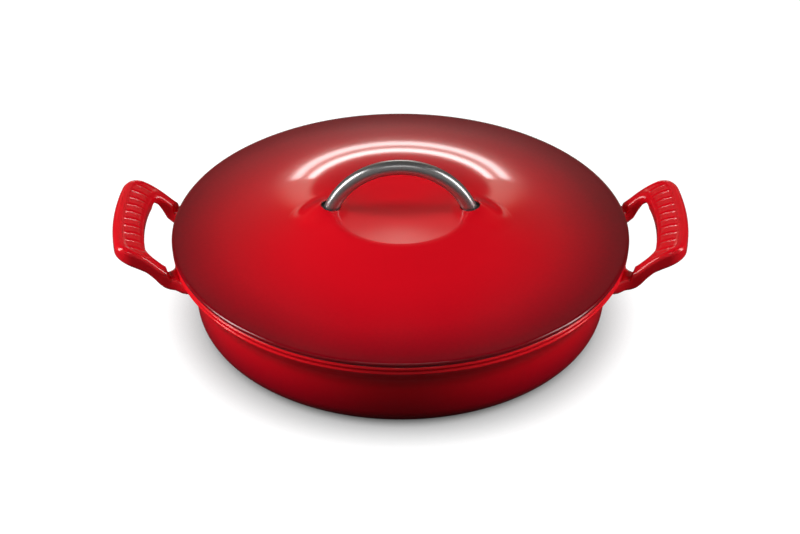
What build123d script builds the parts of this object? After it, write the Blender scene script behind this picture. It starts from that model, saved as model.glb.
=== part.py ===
from build123d import *
import os
from math import asin, atan2, cos, degrees, hypot, radians, sin, tan

# Round enamelled cast-iron braiser with a domed lid.
# The origin is the centre of the foot, +Z is up and +X points along one of the two loop handles.
# All lengths are in millimetres, all angles in degrees. A pair of lengths is (radius or reach, height).

# Pan body
pan_height = 60.5
foot_radius = 123.3
foot_ring_width = 12.0
foot_recess = 0.8
corner_radius = 16.1
wall_taper = 8.0
wall_thickness = 4.5
wall_end_drop = 26.5
cove_end_drop = 12.8
cove_reach = 6.1

# Rim band, as (reach beyond the end of the cove, drop below the rim):
# a ledge, then a lower bead, a groove and an upper bead
band_ledge = 0.8
lower_bead_foot = (4.7, 7.3)
lower_bead_crest = (6.0, 5.6)
band_groove = (5.4, 3.9)
upper_bead_crest = (6.6, 2.0)
upper_bead_end = (5.7, 0.4)
rim_seat_reach = 5.0
rim_bore_inset = 2.2
rim_bore_round = 1.0

# Loop handles, cast with the pan, with profiles as (reach beyond the rim, height above the rim)
finger_gap = 18.5
grip_width = 21.0
arm_outer_reach = 46.3
arm_inner_reach = 37.5
grip_corner = 14.0
window_corner = 8.0
root_flare = 22.0
root_inner_flare = 9.0
root_start_reach = 1.2
root_sink = 0.8
handle_top_root = ((-24.8, -10.0), (-8.8, -7.0), (0.7, -2.1), (7.7, 3.7), (15.0, 9.3))
handle_top_grip = ((21.4, 13.1), (28.2, 15.5), (34.2, 15.8), (41.2, 14.7))
underside_root = ((-24.8, -20.0), (-11.8, -17.9), (-4.8, -15.9), (0.6, -13.1), (5.6, -8.7))
underside_grip = ((12.1, -3.6), (18.6, 0.1), (25.2, 3.1), (32.2, 5.3), (41.2, 6.5))
flare_underside = ((0, -17.5), (3.7, -15.9), (9.7, -14.1), (17.7, -12.5), (28.7, -11.7))
handle_edge_round = 3.4
step_reach = 3.4
step_slope = 1.6
step_drop = 4.3

# Ribbed pocket on each grip
rib_grooves = 10
rib_pitch = 8.54
rib_groove_radius = 2.2
rib_path = ((19.4, 14.1), (26.0, 15.3), (32.8, 18.7))
pocket_depth = 0.6
pocket_inner_border = 2.1
pocket_outer_border = 7.1
pocket_end_border = 3.7
pocket_corner = 4.5

# Lid: shares of the way from the crest to the edge, and heights above the pan's rim
lid_overhang = 0.2
lid_edge_round = 1.7
lid_thickness = 4.4
lid_slope_shares = (0.770, 0.585, 0.419, 0.309, 0.217, 0.124, 0.060)
lid_slope_rises = (4.4, 5.9, 8.3, 10.7, 13.4, 16.9, 19.8)
crest_rise = 21.7
crest_beyond_seat = 0.6
dish_edge_inset = 3.9
dish_edge_drop = 1.1
dish_depth = 10.2
locating_clearance = 1.0
locating_depth = 4.5
locating_width = 4.0
locating_round = 1.0

# Arch handle of the lid and its fasteners
arch_radius = 49.9
arch_half_angle = 66.8
seat_rise = 1.56
bar_diameter = 10.1
bar_edge_round = 0.5
boss_top_diameter = 15.7
boss_flank_angle = 14.0
boss_length = 12.0
boss_edge_round = 0.8
boss_blend = 5.0
under_boss_diameter = 17.0
under_boss_end = 14.5
screw_diameter = 5.0
screw_engagement = 10.0
thread_play = 0.05
screw_clearance = 0.35
head_diameter = 10.0
head_height = 3.6
drive_width = 4.0
drive_depth = 2.0
washer_diameter = 13.0
washer_thickness = 1.2
drill_tip_depth = 1.5


def on_arc(centre, radius, angle):
    """Point on an arc, the angle counted from the outward direction towards the top."""
    return (centre[0] + radius * cos(radians(angle)), centre[1] + radius * sin(radians(angle)))


def lowered(points, depth):
    """The profile's points, each moved down square to the chord of its neighbours."""
    moved = []
    for index, point in enumerate(points):
        before = points[max(index - 1, 0)]
        after = points[min(index + 1, len(points) - 1)]
        run = after[0] - before[0]
        rise = after[1] - before[1]
        length = hypot(run, rise) * (1 if run > 0 else -1)
        moved.append((point[0] + rise / length * depth, point[1] - run / length * depth))
    return moved


# Tangent arcs of the pan's wall, shared by the outside and the inside
corner_centre = (foot_radius, corner_radius)
wall_low = on_arc(corner_centre, corner_radius, -wall_taper)
wall_end_height = pan_height - wall_end_drop
wall_high = (wall_low[0] + (wall_end_height - wall_low[1]) * tan(radians(wall_taper)), wall_end_height)
cove_height = wall_end_drop - cove_end_drop
cove_half_angle = degrees(atan2(cove_reach, cove_height)) - wall_taper
cove_end_angle = wall_taper + 2 * cove_half_angle
cove_radius = hypot(cove_reach, cove_height) / (2 * sin(radians(cove_half_angle)))
cove_centre = on_arc(wall_high, cove_radius, -wall_taper)
cove_end = on_arc(cove_centre, cove_radius, 180 - cove_end_angle)
cove_middle = on_arc(cove_centre, cove_radius, 180 - wall_taper - cove_half_angle)
inner_cove_radius = cove_radius + wall_thickness
inner_cove_end = on_arc(cove_centre, inner_cove_radius, 180 - cove_end_angle)
inner_cove_middle = on_arc(cove_centre, inner_cove_radius, 180 - wall_taper - cove_half_angle)
inner_corner_radius = corner_radius - wall_thickness
inner_wall_low = on_arc(corner_centre, inner_corner_radius, -wall_taper)
inner_wall_high = on_arc(wall_high, -wall_thickness, -wall_taper)
corner_middle_angle = -(90 + wall_taper) / 2
rim_radius = cove_end[0] + upper_bead_crest[0]
rim_bore_radius = cove_end[0] - rim_bore_inset
root_radius = rim_radius - root_sink
root_start = rim_radius + root_start_reach
bore_start = inner_cove_end[1] + (rim_bore_radius - inner_cove_end[0]) / tan(radians(cove_end_angle))

# Sizes of the handle that follow from the rim
grip_inner_radius = rim_radius + finger_gap
grip_outer_radius = grip_inner_radius + grip_width
pocket_inner_radius = grip_inner_radius + pocket_inner_border
pocket_outer_radius = grip_outer_radius - pocket_outer_border
pocket_middle_radius = (pocket_inner_radius + pocket_outer_radius) / 2
pocket_half_angle = degrees(asin((arm_outer_reach - pocket_end_border) / pocket_middle_radius))
rib_pitch_angle = degrees(rib_pitch / pocket_middle_radius)
high_above = pan_height + grip_outer_radius


def at_cove(point):
    """A point of the rim band, from its reach beyond the cove and its drop below the rim."""
    return (cove_end[0] + point[0], pan_height - point[1])


def at_rim(points):
    """Points of the handle, from their reach beyond the rim and their height above it."""
    return [(rim_radius + point[0], pan_height + point[1]) for point in points]


handle_top = at_rim(handle_top_root + handle_top_grip)
handle_underside = at_rim(underside_root + underside_grip)

# One loop handle, drawn along +X before it joins the pan
with BuildPart() as loop:
    with BuildSketch(Plane.XY) as loop_plan:
        with BuildLine():
            tip_high = ((grip_outer_radius**2 - arm_outer_reach**2) ** 0.5, arm_outer_reach)
            tip_low = (tip_high[0], -arm_outer_reach)
            ThreePointArc(tip_low, (grip_outer_radius, 0), tip_high)
            Line(tip_high, (root_start, arm_outer_reach))
            flare_high = (root_start - root_flare, arm_outer_reach + root_flare)
            flare_low = (root_start - root_flare, -arm_outer_reach - root_flare)
            flare_centre = (root_start, arm_outer_reach + root_flare)
            flare_middle = on_arc(flare_centre, root_flare, 225)
            ThreePointArc((root_start, arm_outer_reach), flare_middle, flare_high)
            Polyline(flare_high, (foot_radius, flare_high[1]), (foot_radius, flare_low[1]), flare_low)
            ThreePointArc(flare_low, (flare_middle[0], -flare_middle[1]), (root_start, -arm_outer_reach))
            Line((root_start, -arm_outer_reach), tip_low)
        make_face()
        grip_corners = loop_plan.vertices().group_by(Axis.X)[-1]
        fillet(grip_corners, grip_corner)
        with BuildLine():
            window_tip = ((grip_inner_radius**2 - arm_inner_reach**2) ** 0.5, arm_inner_reach)
            inner_flare_height = arm_inner_reach - root_inner_flare
            inner_flare_reach = ((root_radius + root_inner_flare) ** 2 - inner_flare_height**2) ** 0.5
            inner_flare_angle = degrees(atan2(inner_flare_height, inner_flare_reach))
            flare_start = (inner_flare_reach, arm_inner_reach)
            flare_turn = (90 + inner_flare_angle + 180) / 2
            flare_half = on_arc((inner_flare_reach, inner_flare_height), root_inner_flare, flare_turn)
            flare_end = on_arc((0, 0), root_radius, inner_flare_angle)
            window_back = on_arc((0, 0), foot_radius, inner_flare_angle)
            Line(window_tip, flare_start)
            ThreePointArc(flare_start, flare_half, flare_end)
            Line(flare_end, window_back)
            Line(window_back, (window_back[0], 0))
            mirror(about=Plane.XZ)
            ThreePointArc((window_tip[0], -window_tip[1]), (grip_inner_radius, 0), window_tip)
        make_face(mode=Mode.SUBTRACT)
        window_corners = []
        for side in (1, -1):
            corner_point = (window_tip[0], side * window_tip[1])
            window_corners.append(loop_plan.vertices().sort_by_distance(corner_point)[0])
        fillet(window_corners, window_corner)
    extrude(amount=high_above)
    with BuildSketch(Plane.XZ):
        with BuildLine():
            top_line = Spline(*handle_top)
            under_line = Spline(*handle_underside)
            Line(top_line @ 1, under_line @ 1)
            Line(under_line @ 0, top_line @ 0)
        make_face()
    extrude(amount=grip_outer_radius, both=True, mode=Mode.INTERSECT)
    outline_edges = loop.edges().filter_by(Axis.Z, reverse=True)
    outline_edges = outline_edges.filter_by_position(Axis.X, root_start - root_flare, grip_outer_radius)
    fillet(outline_edges, handle_edge_round)
    with BuildSketch(Plane.YZ):
        for side in (1, -1):
            with BuildLine():
                flare_points = []
                for point in flare_underside:
                    flare_points.append((side * (arm_outer_reach + point[0]), pan_height + point[1]))
                Spline(*flare_points)
                corner_low = (flare_points[0][0], 0)
                Polyline(flare_points[-1], (flare_points[-1][0], 0), corner_low, flare_points[0])
            make_face()
    extrude(amount=grip_inner_radius, mode=Mode.SUBTRACT)

    # Step that clears the edge of the lid
    with BuildSketch(Plane.XZ):
        with BuildLine():
            step_height = pan_height - step_drop
            step_foot = (rim_radius + step_reach, step_height)
            step_top = (step_foot[0] + step_slope, pan_height)
            Polyline((0, step_height), step_foot, step_top, (step_top[0], high_above))
            Polyline((step_top[0], high_above), (0, high_above), (0, step_height))
        make_face()
    revolve(axis=Axis.Z, mode=Mode.SUBTRACT)

# Pocket of a grip: the sector of a ring, above the lowered top line of the handle
with BuildPart() as pocket:
    with BuildSketch(Plane.XY) as pocket_plan:
        with BuildLine():
            inner_low = on_arc((0, 0), pocket_inner_radius, -pocket_half_angle)
            inner_high = on_arc((0, 0), pocket_inner_radius, pocket_half_angle)
            outer_low = on_arc((0, 0), pocket_outer_radius, -pocket_half_angle)
            outer_high = on_arc((0, 0), pocket_outer_radius, pocket_half_angle)
            ThreePointArc(inner_low, (pocket_inner_radius, 0), inner_high)
            Line(inner_high, outer_high)
            ThreePointArc(outer_high, (pocket_outer_radius, 0), outer_low)
            Line(outer_low, inner_low)
        make_face()
        fillet(pocket_plan.vertices(), pocket_corner)
    extrude(amount=high_above)
    with BuildSketch(Plane.XZ):
        with BuildLine():
            floor_line = Spline(*lowered(handle_top, pocket_depth))
            Line(floor_line @ 1, (floor_line @ 1 + (0, high_above)))
            Line((floor_line @ 1 + (0, high_above)), (floor_line @ 0 + (0, high_above)))
            Line((floor_line @ 0 + (0, high_above)), floor_line @ 0)
        make_face()
    extrude(amount=grip_outer_radius, both=True, mode=Mode.INTERSECT)

# One radial groove between the pads of the pocket
with BuildPart() as groove:
    with BuildLine(Plane.XZ) as groove_line:
        ThreePointArc(*at_rim(rib_path))
    with BuildSketch(Plane(origin=groove_line.line @ 0, z_dir=groove_line.line % 0)):
        Circle(rib_groove_radius)
    sweep()

with BuildPart() as handle:
    add(loop)
    add(pocket, mode=Mode.SUBTRACT)
    first_angle = -(rib_grooves - 1) / 2 * rib_pitch_angle
    with PolarLocations(0, rib_grooves, first_angle, rib_pitch_angle * (rib_grooves - 1), endpoint=True):
        add(groove, mode=Mode.SUBTRACT)

# Pan: body with its rim band, two handles, then the inside
with BuildPart() as pan:
    with BuildSketch(Plane.XZ):
        with BuildLine():
            foot_inner = (foot_radius - foot_ring_width, 0)
            recess_edge = (foot_inner[0] - foot_recess, foot_recess)
            Polyline((0, pan_height), (0, foot_recess), recess_edge, foot_inner, (foot_radius, 0))
            corner_middle = on_arc(corner_centre, corner_radius, corner_middle_angle)
            ThreePointArc((foot_radius, 0), corner_middle, wall_low)
            Line(wall_low, wall_high)
            ThreePointArc(wall_high, cove_middle, cove_end)
            Polyline(cove_end, (cove_end[0] + band_ledge, cove_end[1]), at_cove(lower_bead_foot))
            ThreePointArc(at_cove(lower_bead_foot), at_cove(lower_bead_crest), at_cove(band_groove))
            ThreePointArc(at_cove(band_groove), at_cove(upper_bead_crest), at_cove(upper_bead_end))
            Polyline(at_cove(upper_bead_end), at_cove((rim_seat_reach, 0)), (0, pan_height))
        make_face()
    revolve(axis=Axis.Z)
    add(handle)
    with Locations(Rotation(0, 0, 180)):
        add(handle)
    with BuildSketch(Plane.XZ) as pan_inside:
        with BuildLine():
            inner_floor_edge = (foot_radius, wall_thickness)
            inner_corner_middle = on_arc(corner_centre, inner_corner_radius, corner_middle_angle)
            Line((0, wall_thickness), inner_floor_edge)
            ThreePointArc(inner_floor_edge, inner_corner_middle, inner_wall_low)
            Line(inner_wall_low, inner_wall_high)
            ThreePointArc(inner_wall_high, inner_cove_middle, inner_cove_end)
            bore_top = (rim_bore_radius, pan_height - rim_bore_round)
            bore_edge = (rim_bore_radius + rim_bore_round, pan_height)
            Polyline(inner_cove_end, (rim_bore_radius, bore_start), bore_top, bore_edge)
            Polyline(bore_edge, (0, pan_height), (0, wall_thickness))
        make_face()
    revolve(axis=Axis.Z, mode=Mode.SUBTRACT)
pan.part.label = "pan"
export_step(pan.part, "parts/pan.step")

# Seats of the arch, which the crest of the lid goes through
lid_radius = rim_radius + lid_overhang
seat_reach = arch_radius * sin(radians(arch_half_angle))
lid_crest = (seat_reach + crest_beyond_seat, pan_height + crest_rise)
seat_height = lid_crest[1] + seat_rise
arch_top = seat_height + arch_radius * (1 - cos(radians(arch_half_angle)))
lean = (-cos(radians(arch_half_angle)), sin(radians(arch_half_angle)))
seats = []
for side in (1, -1):
    seats.append(Plane(origin=(side * seat_reach, 0, seat_height), z_dir=(side * lean[0], 0, lean[1])))

# Arcs of the dish, shared by its top and its underside
dish_edge = (lid_crest[0] - dish_edge_inset, lid_crest[1] - dish_edge_drop)
dish_rise = dish_depth - dish_edge_drop
dish_centre_height = lid_crest[1] - dish_depth
dish_radius = hypot(dish_edge[0], dish_rise) ** 2 / (2 * dish_rise)
dish_slope = degrees(asin(dish_edge[0] / dish_radius))
dish_centre = (0, dish_centre_height + dish_radius)
dish_middle = on_arc(dish_centre, dish_radius, dish_slope / 2 - 90)
under_dish_edge = on_arc(dish_centre, dish_radius + lid_thickness, dish_slope - 90)
under_dish_middle = on_arc(dish_centre, dish_radius + lid_thickness, dish_slope / 2 - 90)
under_dish_floor = (0, dish_centre_height - lid_thickness)
dish_fall = (-cos(radians(dish_slope)), -sin(radians(dish_slope)))

# Slope of the lid, its rounded edge and the locating ring
lid_top = []
for share, rise in zip(lid_slope_shares, lid_slope_rises):
    lid_top.append((lid_crest[0] + share * (lid_radius - lid_crest[0]), pan_height + rise))
roll_centre = (lid_radius - lid_edge_round, pan_height + lid_edge_round)
roll_top = (roll_centre[0], roll_centre[1] + lid_edge_round)
ring_outer = rim_bore_radius - locating_clearance
ring_inner = ring_outer - locating_width
ring_bottom = pan_height - locating_depth
under_points = lowered((roll_top, *lid_top, lid_crest, dish_edge), lid_thickness)[1:-1]
under_start = (ring_inner, roll_top[1] - lid_thickness)

# Everything under the lid's lower face, used to trim the bosses
with BuildPart() as under_space:
    with BuildSketch(Plane.YZ):
        with BuildLine():
            under_curve = Spline(under_start, *under_points, under_dish_edge, tangents=((-1, 0), dish_fall))
            ThreePointArc(under_dish_edge, under_dish_middle, under_dish_floor)
            Polyline(under_dish_floor, (0, 0), (ring_inner, 0), under_start)
        make_face()
    revolve(axis=Axis.Z)

# Raised seats under the ends of the bar
with BuildPart() as bosses:
    for seat in seats:
        with BuildSketch(seat):
            Circle(boss_top_diameter / 2)
        extrude(amount=-boss_length, taper=-boss_flank_angle)
    fillet(bosses.edges().filter_by(GeomType.CIRCLE).group_by(Axis.Z)[-1], boss_edge_round)
    add(under_space, mode=Mode.SUBTRACT)

# Lid: domed top with a crest around a shallow dish, two raised seats and a locating ring
with BuildPart() as lid:
    with BuildSketch(Plane.YZ):
        with BuildLine():
            ThreePointArc((roll_centre[0], pan_height), (lid_radius, roll_centre[1]), roll_top)
            Spline(roll_top, *lid_top, lid_crest, dish_edge, tangents=((-1, 0), dish_fall))
            ThreePointArc(dish_edge, dish_middle, (0, dish_centre_height))
            Line((0, dish_centre_height), under_dish_floor)
            ThreePointArc(under_dish_floor, under_dish_middle, under_dish_edge)
            Spline(under_start, *under_points, under_dish_edge, tangents=((-1, 0), dish_fall))
            ring_low_inner = (ring_inner + locating_round, ring_bottom)
            ring_low_outer = (ring_outer - locating_round, ring_bottom)
            ring_corner = (ring_outer, ring_bottom + locating_round)
            Polyline(under_start, (ring_inner, ring_bottom + locating_round), ring_low_inner, ring_low_outer)
            Polyline(ring_low_outer, ring_corner, (ring_outer, pan_height), (roll_centre[0], pan_height))
        make_face()
    revolve(axis=Axis.Z)
    add(bosses)
    junction = [edge for edge in lid.edges(Select.NEW) if edge.geom_type == GeomType.BSPLINE]
    fillet(junction, boss_blend)

    # Round bosses under the lid for the screws, with clearance holes
    for seat in seats:
        with BuildSketch(seat.offset(-boss_length / 2)):
            Circle(under_boss_diameter / 2)
        extrude(amount=boss_length / 2 - under_boss_end)
        with BuildSketch(seat):
            Circle(screw_diameter / 2 + screw_clearance)
        extrude(amount=-under_boss_end, mode=Mode.SUBTRACT)
lid.part.label = "lid"
export_step(lid.part, "parts/lid.step")

# Arch: a round bar bent to an arc, tapped at both ends
with BuildPart() as lid_handle:
    with BuildLine(Plane.XZ) as arch_line:
        arch_end = (seat_reach, seat_height)
        ThreePointArc((-seat_reach, seat_height), (0, arch_top), arch_end)
    with BuildSketch(seats[1]):
        Circle(bar_diameter / 2)
    sweep()
    fillet(lid_handle.edges().filter_by(GeomType.CIRCLE).group_by(Axis.Z)[0], bar_edge_round)
    for seat in seats:
        with BuildSketch(seat):
            Circle(screw_diameter / 2 + thread_play)
        extrude(amount=screw_engagement + drill_tip_depth, mode=Mode.SUBTRACT)
lid_handle.part.label = "lid_handle"
export_step(lid_handle.part, "parts/lid_handle.step")

# Washers under the bosses
with BuildPart() as handle_washers:
    for seat in seats:
        with BuildSketch(seat.offset(-under_boss_end)):
            Circle(washer_diameter / 2)
            Circle(screw_diameter / 2 + screw_clearance, mode=Mode.SUBTRACT)
        extrude(amount=-washer_thickness)
handle_washers.part.label = "handle_washers"
export_step(handle_washers.part, "parts/handle_washers.step")

# Screws from below: shank into the bar, round head with a hexagonal drive
with BuildPart() as handle_screws:
    for seat in seats:
        with BuildSketch(seat.offset(-under_boss_end - washer_thickness)):
            Circle(screw_diameter / 2)
        extrude(amount=under_boss_end + washer_thickness + screw_engagement)
        with BuildSketch(seat.offset(-under_boss_end - washer_thickness)):
            Circle(head_diameter / 2)
        extrude(amount=-head_height)
        with BuildSketch(seat.offset(-under_boss_end - washer_thickness - head_height)):
            RegularPolygon(drive_width / 2, 6, major_radius=False)
        extrude(amount=drive_depth, mode=Mode.SUBTRACT)
handle_screws.part.label = "handle_screws"
export_step(handle_screws.part, "parts/handle_screws.step")
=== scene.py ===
import math

import bpy
import bmesh
import numpy as np
from bpy.props import FloatProperty, FloatVectorProperty, PointerProperty
from bpy.types import Operator, Panel, PropertyGroup
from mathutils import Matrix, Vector


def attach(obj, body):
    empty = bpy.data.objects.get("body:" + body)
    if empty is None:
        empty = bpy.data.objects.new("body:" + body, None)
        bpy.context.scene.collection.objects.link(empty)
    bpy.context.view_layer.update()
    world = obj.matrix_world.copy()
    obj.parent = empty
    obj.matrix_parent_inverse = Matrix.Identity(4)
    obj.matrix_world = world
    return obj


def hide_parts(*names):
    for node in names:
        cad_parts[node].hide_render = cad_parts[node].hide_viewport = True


bl_info = {
    "name": "Enamelled braiser",
    "version": (1, 0, 0),
    "blender": (4, 5, 0),
    "location": "View3D > Sidebar > Braiser",
    "description": "Dresses the frame of a round enamelled cast-iron braiser and builds its studio",
    "category": "Object",
}

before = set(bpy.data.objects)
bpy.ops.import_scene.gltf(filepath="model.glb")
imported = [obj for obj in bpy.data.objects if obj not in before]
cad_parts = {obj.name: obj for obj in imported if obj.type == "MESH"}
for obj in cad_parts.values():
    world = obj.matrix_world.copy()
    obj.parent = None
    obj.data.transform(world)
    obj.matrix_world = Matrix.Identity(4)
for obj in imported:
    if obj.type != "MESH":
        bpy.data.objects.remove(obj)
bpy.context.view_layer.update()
MM = 0.001


# Sizes and colours that a user would change


def length(name, description, default):
    """A length, its default given in millimetres."""
    default *= MM
    return FloatProperty(name=name, description=description, default=default, unit="LENGTH", precision=5)


def degrees(name, description, default):
    """An angle, its default given in degrees."""
    default = math.radians(default)
    return FloatProperty(name=name, description=description, default=default, subtype="ANGLE")


def level(name, description, default):
    """A plain number, such as a brightness, a share or a roughness."""
    return FloatProperty(name=name, description=description, default=default, min=0.0)


def colour(name, description, default):
    """A linear colour."""
    return FloatVectorProperty(name=name, description=description, default=default, size=3, subtype="COLOR")


class PanSizes(PropertyGroup):
    height: length("Height", "From the foot to the rim", 60.5)
    foot_radius: length("Foot radius", "Outer radius of the flat foot", 123.3)
    foot_ring: length("Foot ring", "Width of the ring that stands on the hob", 12.0)
    corner_radius: length("Corner", "Radius between the foot and the wall", 16.1)
    wall: length("Wall", "Thickness of the casting", 4.5)
    taper: degrees("Taper", "Lean of the wall", 8)


class HandleSizes(PropertyGroup):
    reach: length("Reach", "From the pan's axis to the outside of a grip", 194.27)
    gap_reach: length("Gap reach", "From the pan's axis to the inside of a grip", 173.3)
    arm_outside: length("Arm outside", "Half the width over both arms", 46.3)
    arm_inside: length("Arm inside", "Half the gap between the arms", 36.7)
    edge_round: length("Edge", "Rounding of the handle's edges", 3.6)
    rib_pitch: length("Rib pitch", "From one groove to the next", 8.54)
    rib_depth: length("Rib depth", "Height of a pad above its grooves", 0.5)
    pocket_depth: length("Pocket depth", "How deep the pads lie in the grip", 0.6)
    pocket_length: length("Pocket length", "Half the length of the ribbed pocket", 43.6)


class LidSizes(PropertyGroup):
    radius: length("Radius", "Outer radius of the lid", 154.97)
    thickness: length("Thickness", "Thickness of the casting", 4.4)
    crest_height: length("Crest height", "Height of the highest ring above the foot", 82.18)
    dish_radius: length("Dish radius", "Radius of the dish's edge", 44.4)
    dish_round: length("Dish middle", "Radius within which the dish levels out", 21.0)
    dish_slope: degrees("Dish slope", "Fall of the dish at its edge", 6.5)
    seat_height: length("Seat height", "Height of the raised seats above the foot", 83.6)
    seat_radius: length("Seat", "Radius of the pocket that holds an end of the bar", 6.5)
    seat_shift: length("Seat shift", "How far a pocket lies outside the bar's end", 1.0)
    pocket_depth: length("Pocket", "Depth of the pocket below its lip", 1.25)
    locating_depth: length("Locating ring", "How far the ring reaches into the pan", 4.5)


class ArchSizes(PropertyGroup):
    bend_radius: length("Bend", "Radius of the bent bar's centre line", 49.9)
    bar_diameter: length("Bar", "Diameter of the bar", 10.1)
    half_angle: degrees("Half angle", "From the top of the bend to one end", 66.8)
    seat_height: length("Seat height", "Height of the bar's ends above the foot", 83.74)
    sunk: length("Sunk", "How far the bar goes on into its seats", 3.0)


class EnamelLook(PropertyGroup):
    bright: colour("Bright red", "Enamel at the centre of the lid and at the rim", (0.78, 0.0045, 0.0135))
    deep: colour("Deep red", "Enamel half way to the dark edge", (0.56, 0.0009, 0.0095))
    dark: colour("Dark red", "Enamel near the lid's edge", (0.28, 0.0007, 0.0080))
    black: colour("Near black", "Enamel at the foot", (0.15, 0.0006, 0.0050))
    cream: colour("Cream", "Enamel inside the pan and the lid", (0.66, 0.56, 0.40))
    ground: colour("Ground coat", "Matt coat on the faces that touch", (0.022, 0.020, 0.020))
    gloss: level("Gloss", "Roughness of the enamel's clear surface", 0.085)


class StageLook(PropertyGroup):
    floor_radius: length("Floor", "Radius of the pale floor", 6000.0)
    floor_colour: colour("Floor colour", "Colour of the floor", (0.14, 0.14, 0.14))
    left_light: level("Left light", "Brightness of the tall left light", 9.0)
    right_light: level("Right light", "Brightness of the tall right light", 6.9)
    back_light: level("Back light", "Brightness of the two strips behind", 7.0)
    front_light: level("Front light", "Brightness of the strip above the camera", 4.0)
    fill_light: level("Fill light", "Brightness of the high light behind", 0.4)
    haze: level("Haze", "Brightness of the glow above the strips", 1.1)
    sheet_share: level("Sheet", "Share of a side light that is mirrored beside its bright strip", 0.22)
    room: level("Room", "Brightness of the room in front", 0.17)
    surround: level("Surround", "Brightness of everything else", 0.005)


# Curves and meshes, worked out in millimetres


def arc(centre, radius, start, end, steps):
    """Points of an arc, its angles in degrees from the first axis."""
    angles = np.radians(np.linspace(start, end, steps + 1))
    return np.stack([centre[0] + radius * np.cos(angles), centre[1] + radius * np.sin(angles)], 1)


def through(points, steps, start=None, end=None):
    """A smooth cubic line through the points, with the slopes at its ends where they are given."""
    points = np.asarray(points, float)
    chords = np.hypot(*np.diff(points, axis=0).T)
    knots = np.concatenate([[0], np.cumsum(chords)])
    count = len(points)
    system = np.zeros((count, count))
    target = np.zeros((count, 2))
    for index in range(1, count - 1):
        before, after = chords[index - 1], chords[index]
        system[index, index - 1 : index + 2] = (after, 2 * (before + after), before)
        jump = points[index + 1] - points[index]
        target[index] = 3 * (after / before * (points[index] - points[index - 1]) + before / after * jump)
    for row, near, slope in ((0, 1, start), (count - 1, count - 2, end)):
        system[row, row] = 1 if slope is not None else 2
        if slope is None:
            system[row, near] = 1
            rise = (points[near] - points[row]) / (knots[near] - knots[row])
            target[row] = 3 * rise
        else:
            target[row] = np.asarray(slope, float) / np.hypot(*slope)
    slopes = np.linalg.solve(system, target)
    sampled = []
    for index in range(count - 1):
        pieces = max(2, int(round(steps * chords[index] / knots[-1])))
        share = np.linspace(0, 1, pieces + 1)[: None if index == count - 2 else -1, None]
        a, b = points[index], points[index + 1]
        u, v = slopes[index] * chords[index], slopes[index + 1] * chords[index]
        cube, square = share**3, share**2
        part = (2 * cube - 3 * square + 1) * a + (cube - 2 * square + share) * u
        sampled.append(part + (3 * square - 2 * cube) * b + (cube - square) * v)
    return np.concatenate(sampled)


def rounded(corners, radii, steps=6):
    """A line through corners, each rounded with its own radius."""
    corners = [np.asarray(corner, float) for corner in corners]
    line = [corners[0]]
    for before, corner, after, radius in zip(corners, corners[1:], corners[2:], radii):
        a = (before - corner) / np.hypot(*(before - corner))
        b = (after - corner) / np.hypot(*(after - corner))
        if radius == 0:
            line.append(corner)
            continue
        half = math.acos(float(np.clip(a @ b, -1, 1))) / 2
        reach = radius / math.tan(half)
        middle = corner + (a + b) / np.hypot(*(a + b)) * radius / math.sin(half)
        first, last = corner + a * reach - middle, corner + b * reach - middle
        turn = math.atan2(first[0] * last[1] - first[1] * last[0], float(first @ last))
        start = math.atan2(first[1], first[0])
        for step in range(steps + 1):
            angle = start + turn * step / steps
            line.append(middle + radius * np.array([math.cos(angle), math.sin(angle)]))
    line.append(corners[-1])
    return np.array(line)


def between(value, table):
    """Reads a table of places and heights at any value between its points."""
    return np.interp(value, *np.transpose(table))


def bearing(point):
    """The direction of a point from the first axis, in degrees."""
    return math.degrees(math.atan2(point[1], point[0]))


def shifted(line, distance):
    """A line moved sideways to its left."""
    tangent = np.gradient(line, axis=0)
    tangent /= np.hypot(*tangent.T)[:, None]
    return line + np.stack([-tangent[:, 1], tangent[:, 0]], 1) * distance


def placed(name, data):
    """A new object of the scene that holds the data."""
    made = bpy.data.objects.new(name, data)
    bpy.context.scene.collection.objects.link(made)
    return made


def finish_mesh(mesh):
    """Merges doubled points, turns the faces outwards and shades them smoothly."""
    built = bmesh.new()
    built.from_mesh(mesh)
    bmesh.ops.remove_doubles(built, verts=built.verts, dist=1e-7)
    bmesh.ops.recalc_face_normals(built, faces=built.faces)
    built.to_mesh(mesh)
    built.free()
    mesh.polygons.foreach_set("use_smooth", np.ones(len(mesh.polygons), bool))
    mesh.update()


def new_mesh(name, points, faces):
    """A mesh from points in millimetres."""
    mesh = bpy.data.meshes.new(name)
    mesh.from_pydata([tuple(point) for point in np.asarray(points, float) * MM], [], faces)
    return mesh


def make_object(name, points, faces, slots, materials):
    """A finished piece from points in millimetres, with the number of a material for each face."""
    mesh = new_mesh(name, points, faces)
    for material in materials:
        mesh.materials.append(material)
    mesh.polygons.foreach_set("material_index", np.asarray(slots, np.int32))
    finish_mesh(mesh)
    return placed(name, mesh)


def skinned(rings, closed_ends=True):
    """Points and faces of rings joined one after the other, each ring closed on itself."""
    rings = np.asarray(rings, float)
    rows, columns = rings.shape[:2]
    faces = []
    for low in range(0, (rows - 1) * columns, columns):
        for k in range(columns):
            after = (k + 1) % columns
            faces.append((low + k, low + after, low + columns + after, low + columns + k))
    if closed_ends:
        faces.append(tuple(range(columns)))
        faces.append(tuple((rows - 1) * columns + k for k in reversed(range(columns))))
    return rings.reshape(-1, 3), faces


def turned(profile, marks, segments):
    """Points, faces and marks of a line turned about Z. Its ends on the axis close when doubles merge."""
    angles = (np.arange(segments) + 0.5) * 2 * math.pi / segments
    ring = np.stack([np.cos(angles), np.sin(angles)], 1)
    rings = [np.column_stack([reach * ring, np.full(segments, height)]) for reach, height in profile]
    return *skinned(rings, closed_ends=False), np.repeat(marks, segments)


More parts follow.
